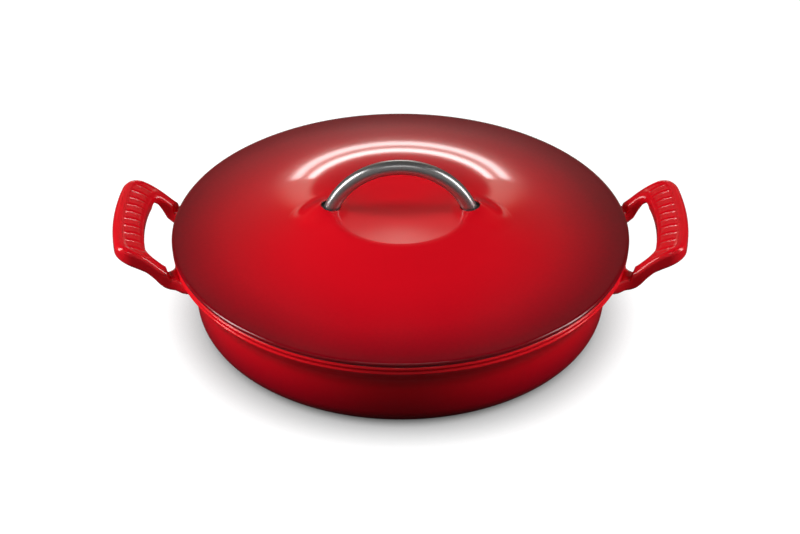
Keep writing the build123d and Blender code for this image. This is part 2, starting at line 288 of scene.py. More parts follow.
def joined(parts):
    """One profile from marked pieces, with the mark of each of its runs."""
    line, marks = [], []
    for piece, mark in parts:
        for point in np.asarray(piece, float):
            if line and np.hypot(*(point - line[-1])) < 1e-4:
                continue
            if line:
                marks.append(mark)
            line.append(point)
    return np.array(line), marks


# Node trees


class Wire:
    """A number coming out of a node, which takes part in sums."""

    def __init__(self, nodes, socket):
        self.nodes = nodes
        self.socket = socket

    def __abs__(self):
        return self.nodes.maths("ABSOLUTE", self)


def overload(operator, operation):
    """Gives wires an operator, with a wire on its left or on its right."""
    setattr(Wire, f"__{operator}__", lambda wire, other: wire.nodes.maths(operation, wire, other))
    setattr(Wire, f"__r{operator}__", lambda wire, other: wire.nodes.maths(operation, other, wire))


for operator, operation in (("add", "ADD"), ("sub", "SUBTRACT"), ("mul", "MULTIPLY"), ("truediv", "DIVIDE")):
    overload(operator, operation)


class Nodes:
    """A node tree with short calls for its nodes."""

    def __init__(self, tree):
        self.tree = tree

    def add(self, kind, inputs=None, **settings):
        """A node with its settings first, then its values and links by the names of its inputs."""
        node = self.tree.nodes.new(kind)
        for name, value in settings.items():
            setattr(node, name, value)
        for name, value in (inputs or {}).items():
            self.set(node.inputs[name], value)
        return node

    def set(self, socket, value):
        """Links a wire or a socket, or sets a plain value."""
        if isinstance(value, Wire):
            value = value.socket
        if isinstance(value, bpy.types.NodeSocket):
            self.tree.links.new(value, socket)
        elif isinstance(value, (tuple, list)) and len(value) == 3 and len(socket.default_value) == 4:
            socket.default_value = (*value, 1)
        else:
            socket.default_value = value

    def wire(self, socket):
        return Wire(self, socket)

    def maths(self, operation, *values):
        node = self.add("ShaderNodeMath", operation=operation)
        for socket, value in zip(node.inputs, values):
            self.set(socket, value)
        return Wire(self, node.outputs[0])

    def ramp(self, value, low, high):
        """The value's smooth share of the way from low to high, kept between 0 and 1."""
        inputs = {"Value": value, "From Min": low, "From Max": high}
        node = self.add("ShaderNodeMapRange", inputs, interpolation_type="SMOOTHSTEP")
        return Wire(self, node.outputs[0])

    def mix(self, share, first, second):
        """A colour between two colours."""
        node = self.add("ShaderNodeMix", data_type="RGBA")
        for socket, value in ((node.inputs[0], share), (node.inputs[6], first), (node.inputs[7], second)):
            self.set(socket, value)
        return node.outputs[2]

    def blend(self, value, stops):
        """A colour from a smooth ramp through the stops, each a place from 0 to 1 and a colour."""
        node = self.add("ShaderNodeValToRGB", {0: value})
        node.color_ramp.interpolation = "B_SPLINE"
        stops = sorted(stops)
        while len(node.color_ramp.elements) < len(stops):
            node.color_ramp.elements.new(0.5)
        for element, (place, tone) in zip(node.color_ramp.elements, stops):
            element.position = place
            element.color = (*tone, 1)
        return node.outputs[0]

    def place(self):
        """The vector of Object coordinates."""
        return self.add("ShaderNodeTexCoord").outputs["Object"]

    def split(self, vector):
        """The three parts of a vector, as wires."""
        return [self.wire(part) for part in self.add("ShaderNodeSeparateXYZ", {0: vector}).outputs]

    def joined(self, x, y, z):
        """A vector from three parts."""
        return self.add("ShaderNodeCombineXYZ", {"X": x, "Y": y, "Z": z}).outputs[0]

    def noise(self, vector, size, detail):
        """Noise with features of about the given size in millimetres."""
        inputs = {"Vector": vector, "Scale": 1 / (size * MM), "Detail": detail}
        return self.wire(self.add("ShaderNodeTexNoise", inputs).outputs[0])


def new_material(name):
    """An empty node material, and the builder of its nodes."""
    material = bpy.data.materials.new(name)
    material.use_nodes = True
    material.node_tree.nodes.clear()
    return material, Nodes(material.node_tree)


def finish_material(material, nodes, shader):
    """Gives the material its output and returns it."""
    nodes.add("ShaderNodeOutputMaterial", {"Surface": shader})
    return material


def shine(nodes, tone, rough, bump, depth, **plain):
    """A Principled shader with a bump, its depth in millimetres. Plain values go on its own sockets."""
    height = {"Height": bump, "Strength": 1.0, "Distance": depth * MM}
    normal = nodes.add("ShaderNodeBump", height).outputs[0]
    inputs = {"Base Color": tone, "Roughness": rough, "Normal": normal}
    inputs.update({name.replace("_", " "): value for name, value in plain.items()})
    return nodes.add("ShaderNodeBsdfPrincipled", inputs).outputs[0]


def shade(tone, share=1.0):
    """A colour made darker or lighter by a share."""
    return tuple(share * part for part in tone)


def enamel(name, look, kind):
    """Glossy enamel whose red deepens towards the edge of the lid, or down the pan's body and handles."""
    material, nodes = new_material(name)
    vector = nodes.place()
    x, y, z = (part / MM for part in nodes.split(vector))
    cloud = nodes.noise(vector, 60.0, 0.0) - 0.5
    grain = nodes.noise(vector, 2.4, 0.0) - 0.5
    reds = [shade(tone) for tone in (look.bright, look.deep, look.dark, look.black)]
    if kind == "lid":
        # The ombre's bright centre is moved a little to the left of the middle and in front of it: painted
        # light, standing in for the stronger light that falls from the left and the front.
        x, y = x + 5.0, y + 6.0
        reach = nodes.maths("SQRT", x * x + y * y) + cloud * 6.0 + grain * 5.0
        tone = nodes.blend(reach / 160.0, zip((0.45, 0.70, 0.86, 0.98), reds))
    else:
        height = z + cloud * 3.0 + grain * 2.0
        tone = nodes.blend(height / 60.0, zip((0.68, 0.44, 0.23, 0.04), reds))
    rough = nodes.noise(vector, 30.0, 0.0) * 0.06 + 0.36
    peel = nodes.noise(vector, 1.1, 1.0)
    shader = shine(
        nodes, tone, rough, peel, 0.0012, Specular_IOR_Level=0.08, Specular_Tint=(1.0, 0.72, 0.42, 1.0),
        Coat_Weight=0.4 if kind == "body" else 1.0, Coat_Roughness=look.gloss,
    )
    return finish_material(material, nodes, shader)


def cream_enamel(name, look):
    """Pale enamel of the inside, with fine darker specks."""
    material, nodes = new_material(name)
    vector = nodes.place()
    cloud = nodes.noise(vector, 18.0, 3.0)
    specks = nodes.ramp(nodes.noise(vector, 0.9, 1.0), 0.64, 0.74)
    tone = nodes.mix(nodes.ramp(cloud, 0.3, 0.7), shade(look.cream), shade(look.cream, 0.93))
    tone = nodes.mix(specks * 0.35, tone, (0.30, 0.22, 0.13))
    peel = nodes.noise(vector, 4.5, 1.5)
    shader = shine(nodes, tone, cloud * 0.06 + 0.16, peel, 0.03, Coat_Weight=0.6, Coat_Roughness=0.12)
    return finish_material(material, nodes, shader)


def ground_coat(name, look):
    """Matt dark coat of the faces that stand or rest on something."""
    material, nodes = new_material(name)
    vector = nodes.place()
    grain = nodes.noise(vector, 0.8, 3.0)
    patch = nodes.noise(vector, 7.0, 3.0)
    tone = nodes.mix(nodes.ramp(patch, 0.35, 0.75), shade(look.ground), shade(look.ground, 2.2))
    return finish_material(material, nodes, shine(nodes, tone, patch * 0.2 + 0.45, grain, 0.05))


def bar_steel(name, sizes):
    """Satin steel with fine lines that run along the bent bar."""
    material, nodes = new_material(name)
    vector = nodes.place()
    x, y, z = (part / MM for part in nodes.split(vector))
    bend = sizes.bend_radius / MM
    rise = z - (sizes.seat_height / MM - bend * math.cos(sizes.half_angle))
    outward = nodes.maths("SQRT", x * x + rise * rise) - bend
    along = nodes.maths("ARCTAN2", x, rise) * bend
    around = nodes.maths("ARCTAN2", y, outward)
    # Round the bar the noise is fine, and along it drawn out into lines.
    sine, cosine = (nodes.maths(operation, around) * 0.05 for operation in ("SINE", "COSINE"))
    fine = {"Vector": nodes.joined(sine, cosine, along * 0.0006), "Scale": 900.0, "Detail": 3.0}
    marks = nodes.wire(nodes.add("ShaderNodeTexNoise", fine).outputs[0])
    patch = nodes.noise(vector, 6.0, 2.0)
    tone = nodes.mix(nodes.ramp(marks, 0.3, 0.7), (0.37, 0.365, 0.36), (0.49, 0.485, 0.48))
    shader = shine(nodes, tone, marks * 0.10 + patch * 0.05 + 0.22, marks, 0.006, Metallic=0.85)
    return finish_material(material, nodes, shader)


def fastener_steel(name, tone, rough):
    """Plain steel of the fasteners, with faint turning marks."""
    material, nodes = new_material(name)
    vector = nodes.place()
    marks = nodes.noise(vector, 0.5, 3.0)
    patch = nodes.noise(vector, 3.0, 2.0)
    patchy = nodes.mix(nodes.ramp(patch, 0.3, 0.7), tone, shade(tone, 0.8))
    shader = shine(nodes, patchy, marks * 0.12 + rough, marks, 0.008, Metallic=1.0)
    return finish_material(material, nodes, shader)


def floor_paper(name, tone):
    """Pale floor: white to the camera where no shadow falls, with a painted contact shadow from ambient
    occlusion near the object, and darker in what the object mirrors.
    """
    material, nodes = new_material(name)
    seen = nodes.wire(nodes.add("ShaderNodeLightPath").outputs["Is Camera Ray"])
    pale = nodes.mix(seen, shade(tone, 0.4), shade(tone))
    lit = nodes.add("ShaderNodeBsdfDiffuse", {"Color": pale}).outputs[0]
    # Ambient occlusion darkens the white glow near the object: a painted contact shadow on top of the
    # floor's real shadow.
    painted_contact_shadow = nodes.add("ShaderNodeAmbientOcclusion", {"Distance": 0.030}, samples=12).outputs["AO"]
    white = nodes.mix(seen * nodes.wire(painted_contact_shadow), (0.0, 0.0, 0.0), (1.0, 1.0, 1.0))
    glow = nodes.add("ShaderNodeEmission", {"Color": white, "Strength": 1.0}).outputs[0]
    shader = nodes.add("ShaderNodeAddShader", {0: lit, 1: glow}).outputs[0]
    return finish_material(material, nodes, shader)


# Geometry Nodes


def new_tree(name, sizes):
    """A geometry tree that takes named sizes and a material, the builder of its nodes and its inputs."""
    tree = bpy.data.node_groups.new(name, "GeometryNodeTree")
    tree.is_modifier = True
    kinds = {"Geometry": "NodeSocketGeometry"}
    kinds.update({size: "NodeSocketFloat" for size in sizes}, Material="NodeSocketMaterial")
    tree.interface.new_socket("Geometry", in_out="OUTPUT", socket_type=kinds["Geometry"])
    for socket_name, kind in kinds.items():
        tree.interface.new_socket(socket_name, in_out="INPUT", socket_type=kind)
    nodes = Nodes(tree)
    return tree, nodes, nodes.add("NodeGroupInput").outputs


def close_tree(nodes, geometry, material):
    """Realizes what the tree made and gives it its material."""
    real = nodes.add("GeometryNodeRealizeInstances", {"Geometry": geometry}).outputs[0]
    dressed = nodes.add("GeometryNodeSetMaterial", {"Geometry": real, "Material": material}).outputs[0]
    nodes.add("NodeGroupOutput", {0: dressed})


def grown(name, base, tree, values):
    """Runs the tree on the base object and returns the plain mesh it makes."""
    modifier = base.modifiers.new("Grow", "NODES")
    modifier.node_group = tree
    for item in tree.interface.items_tree:
        if item.item_type == "SOCKET" and item.in_out == "INPUT" and item.name in values:
            modifier[item.identifier] = values[item.name]
    base.update_tag()
    bpy.context.view_layer.update()
    depsgraph = bpy.context.evaluated_depsgraph_get()
    mesh = bpy.data.meshes.new_from_object(base.evaluated_get(depsgraph), depsgraph=depsgraph)
    mesh.name = name
    bpy.data.objects.remove(base)
    finish_mesh(mesh)
    return placed(name, mesh)


# Pieces of the braiser, in millimetres

# Where the cove above the pan's wall starts, and how far it runs outwards and upwards
COVE_START, COVE_SPAN = 34.0, (6.1, 13.7)
# Radii of the pan's mouth, of the rim's outer edge and of the circle that the arms' roots touch
MOUTH, RIM_EDGE, ROOT_CIRCLE = 145.97, 153.15, 153.97
# The beads of the rim band: radius and height
BEADS = ((152.87, 53.2), (154.17, 54.9), (153.57, 56.6), (154.72, 58.5), (153.87, 60.1))
# Side view of a loop handle: distance from the pan's axis and height
HANDLE_TOP = (
    (130.0, 50.5), (146.0, 53.5), (155.5, 58.8), (162.5, 65.1), (169.8, 71.0),
    (176.2, 74.9), (183.0, 77.2), (189.0, 77.3), (196.0, 75.8),
)
HANDLE_UNDERSIDE = (
    (130.0, 40.5), (143.0, 42.6), (150.0, 44.6), (155.4, 47.4), (160.4, 51.8),
    (166.9, 56.9), (173.4, 60.6), (180.0, 63.6), (187.0, 65.8), (196.0, 67.0),
)
# The top stays below this height, under the lid's edge: distance from the pan's axis and height
HANDLE_CEILING = (
    (148.0, 49.5), (150.5, 55.2), (159.8, 55.2), (160.3, 55.7), (161.4, 60.0), (162.0, 64.5), (163.0, 90.0),
)
# Underside of the flare beside an arm: distance from the handle's middle and height
FLARE_UNDERSIDE = ((46.3, 43.0), (50.0, 44.6), (56.0, 46.4), (64.0, 48.0), (75.0, 48.8))
# How much lower an arm's underside is at its root, with the shares of it outwards and sideways
ROOT_DEPTH = 4.4
ROOT_OUTWARDS = ((150.0, 0.0), (154.0, 0.55), (158.0, 1.0), (161.0, 1.0), (164.5, 0.5), (169.0, 0.0))
ROOT_SIDEWAYS = ((40.0, 1.0), (46.3, 0.5), (50.0, 0.0))
# How much higher the underside is at the inner corners of the gap, with its shares
CORNER_RISE = 3.8
CORNER_OUTWARDS = ((161.5, 0.0), (167.0, 1.0), (174.0, 1.0), (181.0, 0.0))
CORNER_SIDEWAYS = ((30.0, 0.0), (34.0, 1.0), (38.5, 1.0), (44.0, 0.0))
# The roll of the lid's edge, which stands on the rim, and the locating ring's two radii
ROLL_RADIUS, ROLL_HEIGHT = 1.7, 62.2
RING_INNER, RING_OUTER = 140.97, 144.97
# The lid's slope inside the roll: radius and height
LID_SLOPE = (
    (130.0, 64.9), (110.0, 66.4), (92.0, 68.8), (80.0, 71.2), (70.0, 73.9), (60.0, 77.4), (53.0, 80.3),
)
# A boss under the lid, in the frame of the bar's end, and the roundings of its corners
BOSS = (
    (0.3, -5.6), (11.0, -4.8), (9.6, -6.4), (8.5, -8.6), (8.5, -13.3), (7.6, -14.5),
    (3.3, -14.5), (2.85, -14.0), (2.85, -6.0),
)
BOSS_ROUNDINGS = (1.5, 1.5, 1.5, 0.6, 0.4, 0.2, 0.2)
# The bar's rounded ends: distance from the end and share of the full thickness
BAR_END = ((0.0, 0.90), (0.03, 0.935), (0.1, 0.965), (0.25, 0.99), (0.5, 1.0))


def wall_and_cove(sizes):
    """The wall's two ends, and the cove above it as centre, radius, first and last angle."""
    corner, turn = sizes.corner_radius / MM, math.degrees(sizes.taper)
    low = arc((sizes.foot_radius / MM, corner), corner, -turn, 0, 1)[0]
    high = np.array([low[0] + (COVE_START - low[1]) * math.tan(sizes.taper), COVE_START])
    half = math.degrees(math.atan2(*COVE_SPAN)) - turn
    radius = math.hypot(*COVE_SPAN) / (2 * math.sin(math.radians(half)))
    centre = high + radius * np.array([math.cos(sizes.taper), -math.sin(sizes.taper)])
    return low, high, (centre, radius, 180 - turn, 180 - (turn + 2 * half))


def build_pan(sizes, look):
    """The body of the pan with its beaded rim, without the handles."""
    low, high, (centre, radius, first, last) = wall_and_cove(sizes)
    height, wall, foot = sizes.height / MM, sizes.wall / MM, sizes.foot_radius / MM
    corner, turn = sizes.corner_radius / MM, math.degrees(sizes.taper)
    inside_foot = foot - sizes.foot_ring / MM
    cove = arc(centre, radius, first, last, 20)
    ledge = cove[-1]
    foot_edge = [(0, 0.8), (inside_foot - 2.2, 0.8), (inside_foot, 0.05), (inside_foot + 1, 0)]
    under_beads = [ledge, (ledge[0] + 0.8, ledge[1]), BEADS[0] + np.array([-0.4, -0.6])]
    rim = [BEADS[-1], (RIM_EDGE, height), (151.5, height), (MOUTH + 1, height)]
    line, marks = joined([
        (rounded(foot_edge, (2, 1)), 1),
        ([(foot - 3.5, 0.0)], 1),
        (arc((foot, corner), corner, -90, -turn, 26), 0),
        (np.linspace(low, high, 8), 0),
        (cove, 0),
        (rounded(under_beads, (0.7,)), 0),
        (through(BEADS, 34, start=(0.45, 1.0), end=(-1, 0.55)), 0),
        (rounded(rim + [(MOUTH, height - 1), (MOUTH, 56.0)], (0.4, 0, 0.6, 0.6), 4), 1),
        ([(MOUTH, 53.4)], 1),
        (arc(centre, radius + wall, last, first, 20), 2),
        (arc((foot, corner), corner - wall, -turn, -90, 20), 2),
        ([(reach, wall) for reach in (100.0, 60.0, 20.0, 0.0)], 2),
    ])
    return make_object("pan_body", *turned(line, marks, 384), (
        enamel("pan_red_enamel", look, "body"),
        ground_coat("pan_ground_coat", look),
        cream_enamel("pan_cream_enamel", look),
    ))


def handle_plan(sizes):
    """The outer and the inner line of a handle's plan, with the directions from them into the metal."""
    reach, gap = sizes.reach / MM, sizes.gap_reach / MM
    outside, inside = sizes.arm_outside / MM, sizes.arm_inside / MM
    outer_round, inner_round, flare_round, root_round = 14.0, 8.0, 22.0, 9.0

    def rounding_centre(far, width):
        """The point at this distance from the pan's axis and from the handle's middle line."""
        return math.sqrt(far**2 - width**2), width

    def evenly(line, count):
        """Points at even distances along a line."""
        lengths = np.concatenate([[0], np.cumsum(np.hypot(*np.diff(line, axis=0).T))])
        wanted = np.linspace(0, lengths[-1], count)
        return np.stack([np.interp(wanted, lengths, line[:, axis]) for axis in (0, 1)], 1)

    outer_mid = rounding_centre(reach - outer_round, outside - outer_round)
    inner_mid = rounding_centre(gap - inner_round, inside - inner_round)
    root_mid = rounding_centre(ROOT_CIRCLE + root_round, inside - root_round)
    flare_mid = (155.97, outside + flare_round)
    root = arc(root_mid, root_round, 90, 180 + bearing(root_mid), 40)
    # From the corners of the grip along the arms, and on into the pan's wall
    outer_run = [
        np.linspace((outer_mid[0], outside), (flare_mid[0], outside), 60)[:-1],
        arc(flare_mid, flare_round, 270, 180, 40),
        np.linspace((flare_mid[0] - flare_round, flare_mid[1]), (128.3, 65.4), 8)[1:],
    ]
    inner_run = [
        np.linspace((inner_mid[0], inside), (root_mid[0], inside), 8)[:-1],
        root,
        root[-1] * np.linspace(1, 0.9353, 16)[1:, None],
    ]
    sides = []
    for far, middle, rounding, run, way in (
        (reach, outer_mid, outer_round, outer_run, 1), (gap, inner_mid, inner_round, inner_run, -1),
    ):
        turn = bearing(middle)
        grip, corner = arc((0, 0), far, 0, turn, 104), arc(middle, rounding, turn, 90, 44)
        half = np.concatenate([grip, corner[1:], evenly(np.concatenate(run), 90)[1:]])
        line = np.concatenate([half[::-1] * (1, -1), half[1:]])
        sides.append((line, shifted(line, way) - line))
    return sides


def handle_heights(pan_sizes):
    """A function that gives the heights of a handle's top and underside at places of its plan."""
    top_line, under_line = through(HANDLE_TOP, 400), through(HANDLE_UNDERSIDE, 400)
    flare_line = through(FLARE_UNDERSIDE, 200)
    cove = arc(*wall_and_cove(pan_sizes)[2], 60)

    def heights(place):
        out, across, far = place[:, 0], np.abs(place[:, 1]), np.hypot(*place.T)
        top = np.minimum(between(out, top_line), between(far, HANDLE_CEILING))
        under = between(out, under_line)
        flared = np.maximum(under, between(across, flare_line))
        under = np.where(across > FLARE_UNDERSIDE[0][0], flared, under)
        under = under - ROOT_DEPTH * between(out, ROOT_OUTWARDS) * between(across, ROOT_SIDEWAYS)
        under = under + CORNER_RISE * between(out, CORNER_OUTWARDS) * between(across, CORNER_SIDEWAYS)
        # Inside the cove's ledge the underside stays just above the cove, hidden in the wall.
        under = np.where(far < 147.5, np.maximum(under, between(far, cove) + 0.3), under)
        return np.maximum(top, under + 0.6), under

    return heights


def build_handles(sizes, pan_sizes, look):
    """Both loop handles: one drawn along +X, then ribbed and repeated by Geometry Nodes."""
    (outer, into_outer), (inner, into_inner) = handle_plan(sizes)
    heights = handle_heights(pan_sizes)
    edge = sizes.edge_round / MM

    def pushed(place):
        """Keeps the handle's inner end within the thickness of the pan's wall."""
        return place * np.maximum(1, 145.0 / np.hypot(*place.T)[:, None])

    def edge_lines(line, into, upper):
        """Lines along a rounded edge, from the upright side to the top or the underside."""
        made = []
        for angle in np.linspace(0, math.pi / 2, 8):
            top, under = heights(pushed(line + into * edge * (1 - math.cos(angle))))
            fitted = np.minimum(edge, (top - under) * 0.49)
            drop = fitted * (1 - math.sin(angle))
            place = pushed(line + into * (fitted * (1 - math.cos(angle)))[:, None])
            top, under = heights(place)
            made.append(np.column_stack([place, top - drop if upper else under + drop]))
        return made

    def face_lines(first, last, steps, side):
        """Lines over the top, side 0, or the underside, side 1, between its rounded edges."""
        places = [pushed(first + (last - first) * share) for share in np.linspace(0, 1, steps + 1)[1:-1]]
        return [np.column_stack([place, heights(place)[side]]) for place in places]

    def side_lines(line, first, last):
        """Lines over an upright side, between two lines that end it."""
        levels = [first[:, 2] + (last[:, 2] - first[:, 2]) * share for share in np.linspace(0, 1, 6)[1:-1]]
        return [np.column_stack([pushed(line), height]) for height in levels]

    start, finish = outer + into_outer * edge, inner + into_inner * edge
    upper = edge_lines(outer, into_outer, True) + face_lines(start, finish, 30, 0)
    upper += edge_lines(inner, into_inner, True)[::-1]
    lower = edge_lines(inner, into_inner, False) + face_lines(finish, start, 10, 1)
    lower += edge_lines(outer, into_outer, False)[::-1]
    around = upper + side_lines(inner, upper[-1], lower[0]) + lower + side_lines(outer, lower[-1], upper[0])
    mesh = new_mesh("handle_base", *skinned(np.stack(around, 1)))
    marks = np.zeros(len(around), np.float32)
    marks[: len(upper)] = 1.0
    is_upper = mesh.attributes.new("upper", "FLOAT", "POINT")
    is_upper.data.foreach_set("value", np.tile(marks, len(outer)))
    return grown("loop_handles", placed("handle_base", mesh), ribbed_tree(), {
        "Pitch": sizes.rib_pitch, "Rib depth": sizes.rib_depth, "Pocket depth": sizes.pocket_depth,
        "Pocket length": sizes.pocket_length, "Material": enamel("handle_red_enamel", look, "handle"),
    })


def ribbed_tree():
    """Sinks a pocket with radial grooves into the marked upper face, and puts a handle on both sides."""
    grip_middle, pocket_outside, corner = 181.3 * MM, 187.4 * MM, 9.0 * MM
    sizes = ("Pitch", "Rib depth", "Pocket depth", "Pocket length")
    tree, nodes, given = new_tree("Ribbed handles", sizes)
    pitch, rib_depth, pocket_depth, pocket_length = (nodes.wire(given[size]) for size in sizes)
    x, y, z = nodes.split(nodes.add("GeometryNodeInputPosition").outputs[0])
    upper = nodes.wire(
        nodes.add("GeometryNodeInputNamedAttribute", {"Name": "upper"}, data_type="FLOAT").outputs[0]
    )
    far = nodes.maths("SQRT", x * x + y * y)
    # The pocket has rounded corners on its outer side, and a soft edge all round.
    length_left = pocket_length - abs(y)
    side_left = pocket_outside - far
    dx = nodes.maths("MAXIMUM", corner - length_left, 0.0)
    dy = nodes.maths("MAXIMUM", corner - side_left, 0.0)
    inset = corner - nodes.maths("SQRT", dx * dx + dy * dy)
    inset = nodes.maths("MINIMUM", inset, nodes.maths("MINIMUM", length_left, side_left))
    pocket = nodes.ramp(inset, -0.5 * MM, 1.7 * MM) * nodes.ramp(far, 172.6 * MM, 175.6 * MM)
    # Ten grooves, half a pitch from the middles of the pads, which fade out at both ends
    step = nodes.maths("ARCTAN2", y, x) * grip_middle / pitch
    cell = abs(step - nodes.maths("ROUND", step)) * 2.0
    fade = nodes.maths("MINIMUM", (far - 173.4 * MM) / (3.6 * MM), (187.2 * MM - far) / (3.4 * MM))
    inside = nodes.ramp(5.0 - abs(step), 0.0, 0.05)
    groove = nodes.ramp(cell, 0.58, 1.0) * nodes.ramp(fade, 0.0, 1.0) * inside
    drop = pocket_depth * pocket + rib_depth * groove
    offset = nodes.joined(0.0, 0.0, drop * -1.0 * upper)
    sunk = nodes.add("GeometryNodeSetPosition", {"Geometry": given["Geometry"], "Offset": offset})
    places = nodes.add("GeometryNodeMeshLine", {"Count": 2, "Offset": (0.0, 0.0, 0.0)})
    number = nodes.wire(nodes.add("GeometryNodeInputIndex").outputs[0])
    pair = nodes.add("GeometryNodeInstanceOnPoints", {
        "Points": places.outputs[0], "Instance": sunk.outputs[0],
        "Rotation": nodes.joined(0.0, 0.0, number * math.pi),
    })
    close_tree(nodes, pair.outputs[0], given["Material"])
    return tree


def lid_line(sizes):
    """Top line of the lid from the edge's roll over the crest to the rounded edge of the dish."""
    crest, edge = sizes.crest_height / MM, sizes.dish_radius / MM + 0.7
    roll_top = (sizes.radius / MM - ROLL_RADIUS, ROLL_HEIGHT + ROLL_RADIUS)
    places = [roll_top, *LID_SLOPE, (47.9, crest - 0.12), (edge, crest)]
    slope = through(places, 80, start=(-1, 0), end=(-1, 0))
    lip = arc((edge, crest - 5.0), 5.0, 90, 90 + math.degrees(sizes.dish_slope), 8)
    return np.concatenate([slope, lip[1:]])


def dish_line(sizes, edge, offset=0.0):
    """The dish from its edge to the middle: a slope that levels out, as far below it as the offset."""
    level_out, fall = sizes.dish_round / MM, sizes.dish_slope
    far = edge[0] * (1 - np.linspace(0, 1, 33) ** 1.2)
    drop = math.tan(fall) * level_out * np.log(np.cosh(far / level_out) / math.cosh(edge[0] / level_out))
    tilt = np.arctan(math.tan(fall) * np.tanh(far / level_out))
    return np.stack([far + offset * np.sin(tilt), edge[1] + drop - offset * np.cos(tilt)], 1)


def build_lid(sizes, look):
    """The lid's shell with its rolled edge, crest, dish and locating ring."""
    top = lid_line(sizes)
    thick, rim = sizes.thickness / MM, ROLL_HEIGHT - ROLL_RADIUS
    under = shifted(top, thick)
    under = under[under[:, 0] < 136.5]
    low = rim - sizes.locating_depth / MM
    ring = [
        under[0], (RING_INNER - 1.2, under[0][1] - 0.1), (RING_INNER, low + 1.5), (RING_INNER + 0.9, low),
        (RING_OUTER - 0.9, low), (RING_OUTER, low + 1.2), (RING_OUTER, rim), (149.0, rim),
    ]
    line, marks = joined([
        (dish_line(sizes, top[-1], thick)[::-1], 1),
        (under[::-1], 1),
        (rounded(ring, (0.9, 0.6, 0.5, 0.5, 0.6, 0.5), 4), 1),
        (arc((sizes.radius / MM - ROLL_RADIUS, ROLL_HEIGHT), ROLL_RADIUS, -90, 90, 12), 2),
        (top[1:], 0),
        (dish_line(sizes, top[-1])[1:], 0),
    ])
    # The ground coat goes on outside the locating ring, and ends low on the roll.
    for index, (mark, (far, height)) in enumerate(zip(marks, line)):
        if mark == 1 and far > RING_OUTER - 0.6 and height > low + 1:
            marks[index] = 2
        if marks[index] == 2 and height > rim + 0.4:
            marks[index] = 0
    return make_object("lid_shell", *turned(line, marks, 360), (
        enamel("lid_red_enamel", look, "lid"),
        cream_enamel("lid_cream_enamel", look),
        ground_coat("lid_ground_coat", look),
    ))


def seat_frame(sizes, side):
    """Origin and axes of one seat of the bar: across, sideways and up along the bar's end."""
    lean = sizes.half_angle
    up = np.array([-side * math.cos(lean), 0, math.sin(lean)])
    across = np.array([math.sin(lean), 0, side * math.cos(lean)])
    origin = np.array([side * sizes.bend_radius / MM * math.sin(lean), 0, sizes.seat_height / MM])
    return origin, across, np.cross(up, across), up


def seat_with_pocket(sizes, line, origin, side):
    """A raised seat whose lip stands round a pocket and blends into the lid in a broad soft slope."""
    radius, depth, lean, around = sizes.seat_radius / MM, sizes.pocket_depth / MM, math.radians(8), 128
    middle = np.array([origin[0] + side * sizes.seat_shift / MM, 0, sizes.seat_height / MM])
    outward = np.array([side * math.cos(lean), 0, math.sin(lean)])
    upward = np.array([-side * math.sin(lean), 0, math.cos(lean)])
    profile = [(0.3 * radius, -depth), (0.7 * radius, -depth), (radius - 0.5, -depth)]
    profile += [(radius - 0.1, 0.3 - depth), (radius, 0.7 - depth)]
    profile += [tuple(point) for point in arc((radius + 0.55, -0.55), 0.55, 180, 80, 8)]

    def on_lid(way, reach):
        """The point of the lid under a point of the seat's plane."""
        low, high = -16.0, 6.0
        for _ in range(40):
            half = (low + high) / 2
            point = middle + way * reach + upward * half
            if point[2] > between(math.hypot(point[0], point[1]), line):
                high = half
            else:
                low = half
        return middle + way * reach + upward * high

    columns = []
    for step in range(around):
        angle = 2 * math.pi * step / around
        way = outward * math.cos(angle) + np.array([0, math.sin(angle), 0])
        # The blend is broad on the outer side and narrow on the dish's side.
        span = 7.0 + 13.0 * ((1 + math.cos(angle)) / 2) ** 0.8
        column = [middle + way * reach + upward * height for reach, height in profile]
        start = column[-1]
        end = on_lid(way, radius + 0.7 + span)
        ahead = on_lid(way, radius + 1.0 + span) - end
        ahead /= np.linalg.norm(ahead)
        pull = 0.42 * np.linalg.norm(end - start)
        leave = (end - start) / np.linalg.norm(end - start) + way * 0.12
        for share in np.linspace(0, 1, 25)[1:]:
            left = 1 - share
            point = left**3 * start + 3 * left**2 * share * (start + leave * pull)
            column.append(point + 3 * left * share**2 * (end - ahead * pull) + share**3 * end)
        # The skin ends just under the lid's surface and closes inside the lid.
        column.append(end + ahead * 0.5 - upward * 0.10)
        column.append(end - upward * 1.6)
        column.append(middle + way * 4.0 - upward * (depth + 1.5))
        columns.append(column)
    points, faces = skinned(np.array(columns).transpose(1, 0, 2))
    # The pocket gets the dark ground coat where the bar bears. Its darkness also stands in for the shade
    # round the bar's end, as a painted shade.
    slots = np.zeros(len(faces), int)
    slots[: 6 * around] = slots[-2] = 2
    return points, faces, slots


def boss(origin, across, sideways, up):
    """A round boss under the lid, about the axis of the bar's end."""
    angles = np.arange(64) * 2 * math.pi / 64
    ways = across[None] * np.cos(angles)[:, None] + sideways[None] * np.sin(angles)[:, None]
    profile = rounded(BOSS, BOSS_ROUNDINGS, 5)
    points, faces = skinned([origin + ways * reach + up * height for reach, height in profile])
    return points, faces, np.ones(len(faces), int)


def build_seats(lid_sizes, arch_sizes, look):
    """The raised seats with their pockets, and the round bosses under the lid."""
    top = lid_line(lid_sizes)
    line = np.concatenate([top, dish_line(lid_sizes, top[-1])[1:]])[::-1]
    points, faces, slots = [], [], []
    for side in (1, -1):
        axes = seat_frame(arch_sizes, side)
        for piece in (seat_with_pocket(lid_sizes, line, axes[0], side), boss(*axes)):
            faces += [tuple(index + len(points) for index in face) for face in piece[1]]
            points += list(piece[0])
            slots += list(piece[2])
    return make_object("lid_seats", points, faces, slots, (
        enamel("seat_red_enamel", look, "lid"),
        cream_enamel("boss_cream_enamel", look),
        ground_coat("pocket_coat_and_painted_shade", look),
    ))


